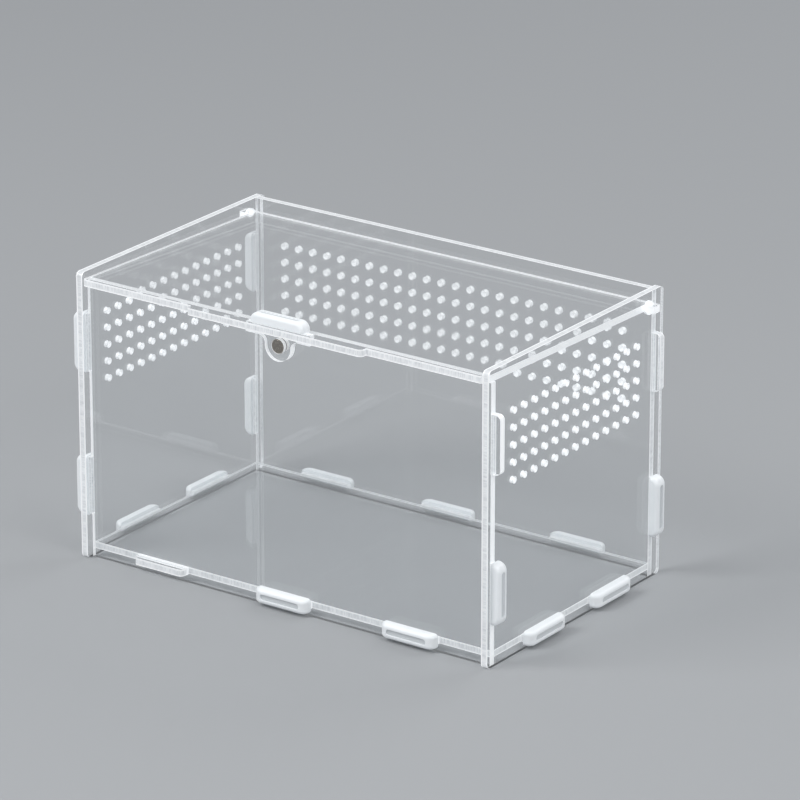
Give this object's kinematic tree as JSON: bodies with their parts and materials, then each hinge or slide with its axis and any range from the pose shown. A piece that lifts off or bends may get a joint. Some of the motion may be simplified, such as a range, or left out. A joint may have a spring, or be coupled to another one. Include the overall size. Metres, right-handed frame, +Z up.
{
  "type": "acrylic reptile enclosure",
  "caption": "Small clear acrylic reptile box of slotted sheet panels with silicone caps, vented walls and a hinged lid with a magnet catch.",
  "frame": {"origin": "middle of the box's footprint, on the surface it stands on", "axes": "+X along the width, to the right seen from the front; +Y from the front to the hinged back; +Z up"},
  "size_m": [0.208, 0.1259, 0.1245],
  "materials": {
    "acrylic": "clear, polished faces and bright laser-cut edges",
    "silicone": "milky white, satin",
    "magnet": "nickel plated"
  },
  "bodies": {
    "enclosure": {"left_wall": "acrylic", "right_wall": "acrylic", "front_panel": "acrylic", "rear_panel": "acrylic", "floor_panel": "acrylic", "panel_magnet": "magnet", "cap_left_front_lower": "silicone", "cap_left_front_upper": "silicone", "cap_left_rear_lower": "silicone", "cap_left_rear_upper": "silicone", "cap_left_floor_front": "silicone", "cap_left_floor_rear": "silicone", "cap_right_front_lower": "silicone", "cap_right_rear_lower": "silicone", "cap_right_floor_front": "silicone", "cap_right_floor_rear": "silicone", "cap_front_floor_centre": "silicone", "cap_front_floor_right": "silicone", "cap_rear_floor_left": "silicone", "cap_rear_floor_centre": "silicone", "cap_rear_floor_right": "silicone"},
    "lid": {"lid_panel": "acrylic", "latch_lug": "acrylic", "lug_magnet": "magnet", "lid_cap": "silicone"}
  },
  "joints": [
    {"name": "lid_hinge", "type": "hinge", "parent": "enclosure", "child": "lid", "pos_m": [0, 0.0516, 0.1162], "axis": [-1, 0, 0], "range_deg": [0, 97]}
  ]
}
